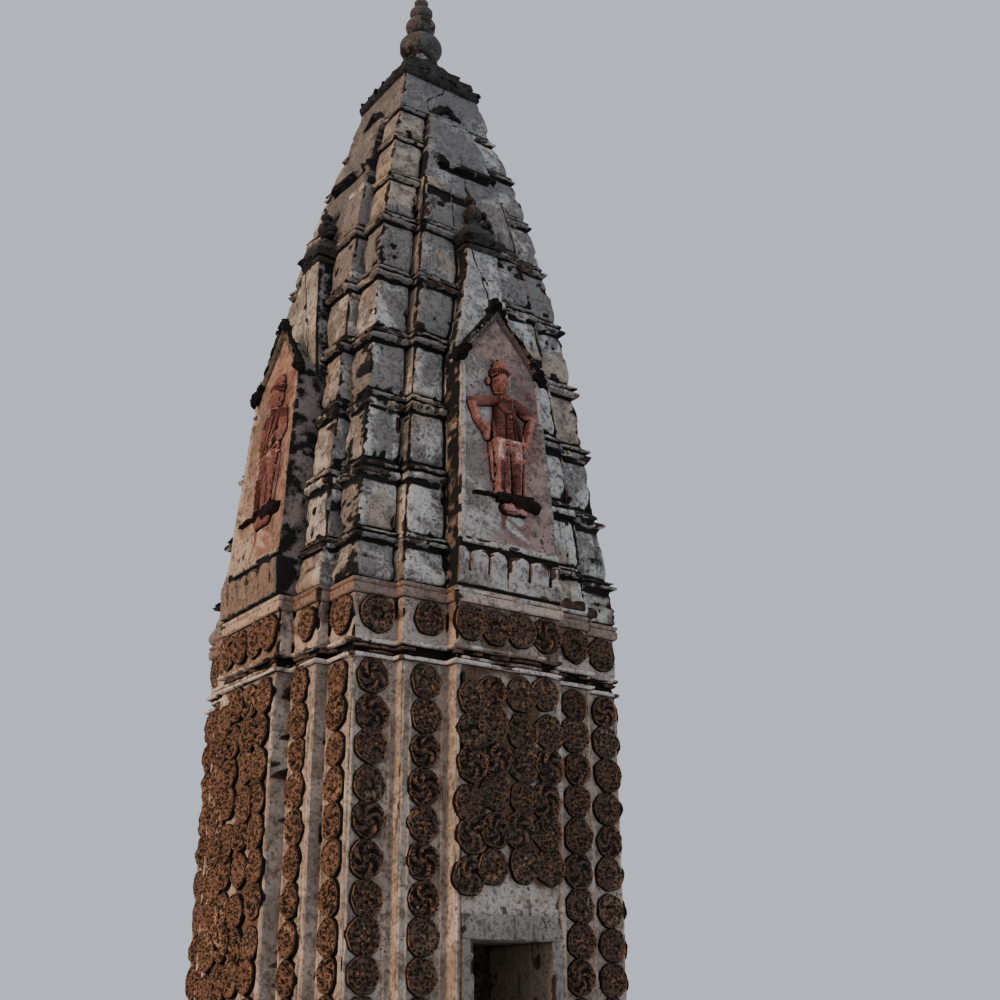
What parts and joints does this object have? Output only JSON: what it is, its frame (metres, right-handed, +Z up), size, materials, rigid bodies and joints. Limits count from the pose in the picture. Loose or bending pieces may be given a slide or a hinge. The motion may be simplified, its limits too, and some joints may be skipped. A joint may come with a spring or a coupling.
{
  "type": "hindu temple tower shrine",
  "caption": "Square brick and lime-plaster shrine with a stepped plan, roundel walls, a tall curved ribbed spire, gabled niches with figures and a pot finial.",
  "frame": {"origin": "centre of the tower plan on the ground, under the tip of the finial", "axes": "+Z up, the doorway and steps face -Y, +X to the right of a visitor facing the door"},
  "size_m": [3.304, 3.9046, 12.276],
  "materials": {
    "lime_plaster": "weathered grey lime plaster over brick, black lichen in the joints",
    "terracotta_wall": "grey plaster set with carved terracotta roundels",
    "moulded_course": "plastered brick courses, pinkish brown where the wash has gone",
    "blackened_moulding": "plaster mouldings black with lichen",
    "painted_relief": "moulded plaster in worn terracotta-red paint",
    "base_stone": "worn plaster and stone",
    "dark_finial": "dark weathered terracotta"
  },
  "bodies": {
    "root": {"back_wall": "terracotta_wall", "centre_bay_back": "lime_plaster", "centre_bay_front": "lime_plaster", "centre_bay_left": "lime_plaster", "centre_bay_right": "lime_plaster", "corner_rib_back_left": "lime_plaster", "corner_rib_back_right": "lime_plaster", "corner_rib_front_left": "lime_plaster", "corner_rib_front_right": "lime_plaster", "cornice": "moulded_course", "door_jamb_left": "base_stone", "door_jamb_right": "base_stone", "door_lintel": "base_stone", "door_threshold": "base_stone", "finial": "dark_finial", "frieze": "terracotta_wall", "front_wall_left": "terracotta_wall", "front_wall_over_door": "terracotta_wall", "front_wall_right": "terracotta_wall", "gable_back": "blackened_moulding", "gable_front": "blackened_moulding", "gable_left": "blackened_moulding", "gable_right": "blackened_moulding", "left_wall": "terracotta_wall", "plinth": "base_stone", "relief_figure_back": "painted_relief", "relief_figure_front": "painted_relief", "relief_figure_left": "painted_relief", "relief_figure_right": "painted_relief", "right_wall": "terracotta_wall", "sanctum_ceiling": "base_stone", "sanctum_floor": "base_stone", "side_rib_back_left": "lime_plaster", "side_rib_back_right": "lime_plaster", "side_rib_front_left": "lime_plaster", "side_rib_front_right": "lime_plaster", "side_rib_left_left": "lime_plaster", "side_rib_left_right": "lime_plaster", "side_rib_right_left": "lime_plaster", "side_rib_right_right": "lime_plaster", "spire_core": "lime_plaster", "step_lower": "base_stone", "step_upper": "base_stone", "string_course": "moulded_course", "top_slab": "blackened_moulding"}
  },
  "joints": []
}
